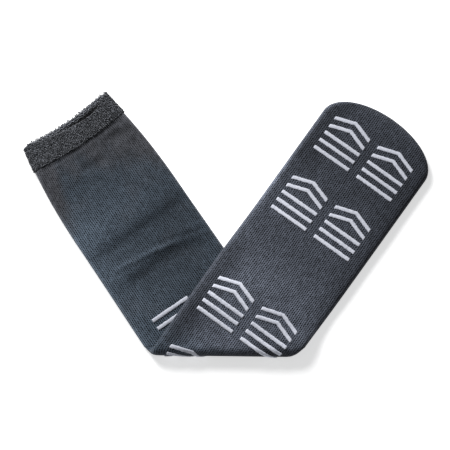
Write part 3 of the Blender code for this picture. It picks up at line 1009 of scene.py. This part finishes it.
def yarn_loops(name, root, normal, slope, shade):
    """Half rings of yarn standing on their roots, each turned, leant and sized a little differently.

    Painted shade is taken off each loop's tone, so that loops in shade come out darker.
    """
    count = len(root)
    turn = draw.uniform(0, math.pi, (count, 1))
    size = draw.uniform(*LOOP_SIZES, (count, 1, 1))
    side = np.cross(normal, slope)
    tangent = slope * np.cos(turn) + side * np.sin(turn)
    tangent /= np.linalg.norm(tangent, axis=-1, keepdims=True)
    lean = np.cross(normal, tangent)
    tilt = draw.uniform(-LOOP_TILT, LOOP_TILT, (count, 1))
    stand = normal * np.cos(tilt) + lean * np.sin(tilt)
    across = lean * np.cos(tilt) - normal * np.sin(tilt)
    bend = np.linspace(-LOOP_TUCK, math.pi + LOOP_TUCK, LOOP_BENDS + 1)[:, None]
    wide, high = tangent[:, None] * LOOP_HALF_WIDTH, stand[:, None] * LOOP_HEIGHT
    reach = wide * np.cos(bend) + high * np.sin(bend)
    way = high * np.cos(bend) - wide * np.sin(bend)
    way /= np.linalg.norm(way, axis=-1, keepdims=True)
    outward = np.cross(way, across[:, None])
    quarter = np.linspace(0, 2 * math.pi, YARN_SIDES, endpoint=False)[:, None]
    offset = across[:, None, None] * np.cos(quarter) + outward[:, :, None] * np.sin(quarter)
    points = (root[:, None] + reach * size)[:, :, None] + offset * YARN_RADIUS
    above = points[..., 2] - FLOOR_CLEARANCE
    points[..., 2] = FLOOR_CLEARANCE + np.maximum(above, FLOOR_GIVE * np.tanh(above))
    shape = points.shape[:3]
    tone = np.broadcast_to((draw.uniform(0, 1, count) - shade)[:, None, None], shape)
    height = np.broadcast_to(np.clip(np.sin(bend), 0, 1)[None], shape)
    index = np.arange(np.prod(shape)).reshape(shape)
    ends = [index[:, 0, ::-1].reshape(-1, 4), index[:, -1].reshape(-1, 4)]
    coordinates = np.stack([tone, height], axis=-1)
    piece = make_piece(name, points, [ring_faces(shape), *ends], coordinates, [TERRY_LOOPS])


outer_across = outer_place[:, 0]
outer_side = np.interp(outer_across, [outer_across.min(), outer_across.max()], [-1, 1])
# Painted shade taken off each outside loop's tone
loop_shade = LOOP_SHADE_RIGHT * ease(*LOOP_SHADE_SIDE, outer_side)
loop_shade = loop_shade + LOOP_SHADE_RIM * (1 - ease(*LOOP_SHADE_RIM_UNTIL, outer_along))
loop_shade = loop_shade + LOOP_SHADE_SEAM * ease(*LOOP_SHADE_SEAM_FROM, outer_along)
yarn_loops("terry_loops_outside", outer_place, outer_normal, outer_slope, loop_shade)

# %% [markdown]
# ## The rim and the mouth
#
# The rim is where pile is seen in outline, so it gets its own two rings of loops that stand up. A sine
# along the back rim lifts them into small scallops, as the machine's last courses leave them, and a random
# draw makes them ragged. Inside the mouth a few more rows grow inwards. They get painted light on the strip
# of the back that shows, and painted shade further in and behind the front rim, so the mouth is a dark
# line.

# %% Loops on the rim and inside
LIP_ROWS = (0, 1.2)
OUTER_LIP, INNER_LIP = 0.4, 2.2
FRONT_HEIGHT = (5, 8)
FRONT_LOWER = 1.0
# Painted shade on the front's inner lip
LIP_SHADE = 2.2
RIM_LEAN = 0.2
RIM_RAGGED = (-0.5, 0.4)
SCALLOP, SCALLOP_LENGTH = 0.6, 4.8
MOUTH_ROWS = (1.0, 12.0)
# Painted shade deep in the mouth, painted light on the back's strip that shows
MOUTH_DARKENS = (3.2, 6.0)
MOUTH_SHADE, MOUTH_PAINTED_LIGHT = 2.0, 0.7

outer_lip, inner_lip = roots(*LIP_ROWS, OUTER_LIP), roots(*LIP_ROWS, INNER_LIP)
rim_place, rim_normal, rim_slope, _ = [np.concatenate(parts) for parts in zip(outer_lip, inner_lip)]
on_inner_lip = np.arange(len(rim_place)) >= len(outer_lip[0])
on_front = ease(*FRONT_HEIGHT, rim_place[:, 2])
rim_up = rim_normal * RIM_LEAN - rim_slope
rim_up /= np.linalg.norm(rim_up, axis=-1, keepdims=True)
scallop = SCALLOP * np.sin(2 * math.pi * rim_place[:, 0] / SCALLOP_LENGTH)
ragged = draw.uniform(*RIM_RAGGED, len(rim_up)) + scallop * (1 - on_front) - FRONT_LOWER * on_front
rim_place = rim_place + rim_up * ragged[:, None]
yarn_loops("terry_loops_rim", rim_place, rim_up, rim_normal, LIP_SHADE * on_front * on_inner_lip)

mouth_place, mouth_normal, mouth_slope, mouth_along = roots(*MOUTH_ROWS, CUFF_LINING)
mouth_shade = MOUTH_SHADE * ease(*MOUTH_DARKENS, mouth_along) - MOUTH_PAINTED_LIGHT
yarn_loops("terry_loops_inside", mouth_place, -mouth_normal, mouth_slope, mouth_shade)

# %% [markdown]
# ## Grip treads
#
# The treads are rubber, printed through a stencil on the knit: three bars and two chevrons in a group,
# groups in rows and columns on the sole, and some more on the front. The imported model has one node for
# each strip, and the node's name says its group, column and kind, so its place comes from the same few
# distances that the model was made with. The chevrons' middles are pushed towards the toe.

# %% Where the strips lie
STRIP_LENGTH = 39.4
STRIP_THICKNESS = 0.6
CHEVRON_RISE = 6.5
SOLE_ROWS = {"toe": 64, "ball": 132.5, "heel": 250}
SOLE_COLUMNS = {"left": -25, "right": 23.5}
STRIPS = {"bar_a": (0, 0), "bar_b": (8.5, 0), "bar_c": (17, 0)}
STRIPS.update({"chevron_a": (24.3, CHEVRON_RISE), "chevron_b": (33.2, CHEVRON_RISE)})
FRONT_ROW = LEG_LENGTH - 54
FRONT_COLUMN = -17.5
ANKLE_ROW = TUBE_LENGTH - 326.5
ANKLE_REACH = {"chevron_b": 0.88, "chevron_a": 0.68, "bar_c": 0.28}


def strip_place(node):
    """Middle across, place along, rise, whether on the sole and the share that shows, from a name."""
    _, group, *rest = node.split("_")
    strip = "_".join(rest[-2:])
    ahead, rise = STRIPS[strip]
    if group == "front":
        return FRONT_COLUMN, FRONT_ROW + ahead, rise, False, 1.0
    if group == "ankle":
        return SOLE_COLUMNS["left"], ANKLE_ROW + ahead, rise, True, ANKLE_REACH[strip]
    return SOLE_COLUMNS[rest[0]], TUBE_LENGTH - SOLE_ROWS[group] + ahead, rise, True, 1.0


print(tread_nodes[0], strip_place(tread_nodes[0]))

# %% [markdown]
# ## Strips with a dome
#
# Printed rubber stands up with a flat top and rounded shoulders, its ends are blunt, and its edges follow
# the stitches a little. A bevelled curve could give that, but it would not follow the creases under it.
# Here a domed section is carried along the strip's line on the flat face, gets its small ragged draws, and
# is folded with the cloth. The underside is sunk into the knit, so no gap shows.

# %% Sections along a strip
STRIP_STEPS = 70
DOME_STEPS = 12
DOME_FULL_ASIDE, DOME_FULL_UP = 0.6, 0.5
PRINT_WIDTH = 3.65
SUNK = 0.35
RAGGED, RAGGED_STEP = 0.22, 1.1
STRIP_CORNER = 0.6
END_WIDTH = 0.84
END_HEIGHT = 0.45
END_CLOSER = 0.6


def face_depth(across, along, on_sole):
    """Depth of the sole's or the front's face, creases included."""
    share = across / (half_width(along) - EDGE_ROLL)
    sole, front = crowns(across, along)
    on_front = thickness(across, along) - front * share**2 + front_relief(across, along)
    return np.where(on_sole, sole * share**2 - sole_relief(across, along), on_front)


def dome_section():
    """Sideways a signed power of cosine, upwards a power of sine, and a flat underside in the knit."""
    turn = np.linspace(0, 2 * math.pi, DOME_STEPS, endpoint=False)
    sideways = signed_power(np.cos(turn), DOME_FULL_ASIDE) / 2
    top = signed_power(np.sin(turn), DOME_FULL_UP) * (SEAT_GAP + STRIP_THICKNESS)
    return sideways, np.where(np.sin(turn) > 0, top, -SUNK)


def strip_points(column, row, rise, on_sole, reach):
    """The dome carried along the strip, with steps closer at the ends, where it narrows as a circle does.

    A chevron's line is bowed by a triangle wave; each edge is moved by random draws joined by lines.
    """
    even = np.linspace(0, 1, STRIP_STEPS + 1)
    share = reach * (END_CLOSER * (1 - np.cos(math.pi * even)) / 2 + (1 - END_CLOSER) * even)
    travel = share * STRIP_LENGTH
    to_end = np.minimum(travel, reach * STRIP_LENGTH - travel)
    corner = np.sqrt(1 - (1 - np.clip(to_end / STRIP_CORNER, 0, 1)) ** 2)
    narrow = (END_WIDTH + (1 - END_WIDTH) * corner)[:, None]
    sideways, dome = dome_section()
    knots = np.arange(0, STRIP_LENGTH + 2 * RAGGED_STEP, RAGGED_STEP)
    edges = [np.interp(travel, knots, draw.uniform(-RAGGED, RAGGED, len(knots))) for _ in range(2)]
    ragged = np.where(sideways > 0, edges[0][:, None], -edges[1][:, None])
    slant = math.hypot(1, 2 * rise / STRIP_LENGTH)
    across = column + (share - 0.5)[:, None] * STRIP_LENGTH + 0 * dome
    bow = rise * (1 - np.abs(2 * share - 1))[:, None]
    along = row + bow + (sideways * PRINT_WIDTH * slant + ragged * np.abs(sideways) * 2) * narrow
    rise_up = ease(0, STRIP_CORNER, to_end)[:, None]
    lift = np.where(dome > 0, dome * (END_HEIGHT + (1 - END_HEIGHT) * rise_up), dome)
    outwards = -lift if on_sole else lift
    points = fold_point(across, along, face_depth(across, along, on_sole) + outwards)
    return points, np.stack([across, along], axis=-1)


print("one strip has", STRIP_STEPS + 1, "sections of", DOME_STEPS, "points")

# %% [markdown]
# ## Rubber
#
# The rubber is pale, matt and finely pebbled. Where it was pressed thin the grey knit shows through, so
# noise mixes a worn colour in and makes it rougher. Towards the toe the treads get painted shade, most on
# the left, and at the heel painted light. The strip's map holds its place across and along the sock, and
# smooth steps read it.

# %% Rubber and all its strips
TREAD_COLOUR = (0.65, 0.67, 0.75, 1)
TREAD_WORN = (0.48, 0.50, 0.58, 1)
# Painted light at the heel, painted shade towards the toe, less of it on the right
FRONT_LIGHT = 0.9
HEEL_LIGHTER, HEEL_FROM = 0.28, (262, 290)
TOE_DARKER, TOE_FROM = 0.37, (340, 500)
RIGHT_LESS_SHADE, RIGHT_FROM = 0.35, (-10, 10)
THINS_PER_METRE, THIN_STEP = 700.0, (0.3, 0.55)
PEBBLES_PER_METRE, PEBBLE_DEPTH, PEBBLE_SHARE = 2200.0, 0.25, 0.3
RUBBER_ROUGH, RUBBER_ROUGHER = 0.55, 0.25


def rubber_material():
    """Fresh and worn rubber mixed by noise, times painted light and shade: smooth steps across and along.
    """
    material, start = new_material("tread_rubber")
    thin = noise(start, THINS_PER_METRE, detail=3.0)
    pebble = noise(start, PEBBLES_PER_METRE)
    across, along = cloth_coordinates(start)
    # Painted shade towards the toe, less on the right
    toe_shade = TOE_DARKER * along.step(*TOE_FROM) * (1 - RIGHT_LESS_SHADE * across.step(*RIGHT_FROM))
    light = FRONT_LIGHT + HEEL_LIGHTER * along.step(*HEEL_FROM) - toe_shade
    sockets = {
        "Base Color": light.shaded(thin.step(*THIN_STEP).between(TREAD_WORN, TREAD_COLOUR)),
        "Roughness": RUBBER_ROUGH + RUBBER_ROUGHER * thin,
        "Specular IOR Level": 0.3,
        "Normal": bump(start, thin * (1 - PEBBLE_SHARE) + pebble * PEBBLE_SHARE, PEBBLE_DEPTH),
    }
    finish_surface(start, sockets)
    return material


RUBBER = rubber_material()
for node in tread_nodes:
    points, flat = strip_points(*strip_place(node))
    steps, domed = points.shape[:2]
    index = np.arange(steps * domed).reshape(steps, domed)
    ends = [points[0].mean(axis=0), points[-1].mean(axis=0)]
    flat_ends = [flat[0].mean(axis=0), flat[-1].mean(axis=0)]
    first_cap = cap_faces(index[0], steps * domed, True)
    last_cap = cap_faces(index[-1], steps * domed + 1, False)
    strip = make_piece(
        node.replace("tread_", "strip_"),
        np.concatenate([points.reshape(-1, 3), ends]),
        [ring_faces((steps, domed)), first_cap, last_cap],
        np.concatenate([flat.reshape(-1, 2), flat_ends]),
        [RUBBER],
    )
    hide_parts(node)

# %% [markdown]
# ## Floor and light
#
# Small goods are often photographed on a light table: the pale floor glows by itself, so shadows stay thin
# and grey. One soft lamp stands low behind the object. It rakes over the cloth, which is what makes
# creases and stitches readable, and throws short soft shadows in front and to the right. A faint even sky
# keeps the far sides from going black. A higher lamp or a brighter sky would wash the knit out.

# %% Glowing floor, lamp and sky
FLOOR_SIDE = 6.0
LAMP_DISTANCE = 1.1
LAMP_SIZE = 0.6
LAMP_POWER = 20.4
LAMP_FROM = Vector((0.063, 0.803, 0.59)).normalized()
SKY_COLOUR = (0.96, 0.98, 1, 1)
SKY_STRENGTH = 0.15
TABLE_GLOW = 0.58

corners = FLOOR_SIDE / 2 * np.array([(-1, -1, 0), (1, -1, 0), (1, 1, 0), (-1, 1, 0)], float)
floor_mesh = bpy.data.meshes.new("floor")
floor_mesh.from_pydata(corners, [], [(0, 1, 2, 3)])
floor = bpy.data.objects.new("floor", floor_mesh)
bpy.context.scene.collection.objects.link(floor)
floor_material, floor_start = new_material("pale_floor")
floor_finish = {
    "Base Color": (0.9, 0.9, 0.9, 1),
    "Roughness": 0.9,
    "Specular IOR Level": 0.1,
    "Emission Color": (1, 1, 1, 1),
    "Emission Strength": TABLE_GLOW,
}
finish_surface(floor_start, floor_finish)
floor_mesh.materials.append(floor_material)

lamp_data = bpy.data.lights.new("soft_lamp", "AREA")
lamp_data.energy = LAMP_POWER
lamp_data.size = LAMP_SIZE
lamp = bpy.data.objects.new("soft_lamp", lamp_data)
lamp.location = LAMP_FROM * LAMP_DISTANCE
lamp.rotation_euler = LAMP_FROM.to_track_quat("Z", "Y").to_euler()
bpy.context.scene.collection.objects.link(lamp)

sky = bpy.data.worlds.new("even_sky")
sky.use_nodes = True
sky_light = sky.node_tree.nodes["Background"].inputs
sky_light["Color"].default_value = SKY_COLOUR
sky_light["Strength"].default_value = SKY_STRENGTH
bpy.context.scene.world = sky
bpy.context.scene.view_settings.view_transform = "Standard"
print("floor", FLOOR_SIDE, "m, lamp", LAMP_POWER, "W")

# %% [markdown]
# ## Camera
#
# The camera looks steeply down along the V's middle line, from well away through a long lens, so the foot
# and the leg keep their true widths in the picture. Its three axes are worked out from azimuth, elevation
# and a slight roll, and the lens from the number of pixels that one metre should take up at the target.

# %% Camera from its angles
IMAGE_SIDE = 450
SENSOR = 36.0
CAMERA_DISTANCE = 2.4
CAMERA_AZIMUTH = math.radians(-34.5)
CAMERA_ELEVATION = math.radians(82)
CAMERA_ROLL = math.radians(0.36)
CAMERA_TARGET = Vector((-0.0334, -0.0138, 0.008))
PIXELS_PER_METRE = 1078.8

flat_back = Vector((math.sin(CAMERA_AZIMUTH), -math.cos(CAMERA_AZIMUTH), 0))
back = flat_back * math.cos(CAMERA_ELEVATION) + Vector((0, 0, math.sin(CAMERA_ELEVATION)))
flat_right = Vector((math.cos(CAMERA_AZIMUTH), math.sin(CAMERA_AZIMUTH), 0))
right = flat_right * math.cos(CAMERA_ROLL) + back.cross(flat_right) * math.sin(CAMERA_ROLL)
camera_data = bpy.data.cameras.new("camera")
camera_data.sensor_width = SENSOR
camera_data.lens = SENSOR * PIXELS_PER_METRE * CAMERA_DISTANCE / IMAGE_SIDE
camera = bpy.data.objects.new("camera", camera_data)
axes = Matrix((right, back.cross(right), back)).transposed().to_4x4()
camera.matrix_world = Matrix.Translation(CAMERA_TARGET + back * CAMERA_DISTANCE) @ axes
bpy.context.scene.collection.objects.link(camera)
bpy.context.scene.camera = camera
print("lens", round(camera_data.lens, 1), "mm")

# %% [markdown]
# ## Finish
#
# The last line brings the view layer up to date.

# %% Finish
bpy.context.view_layer.update()
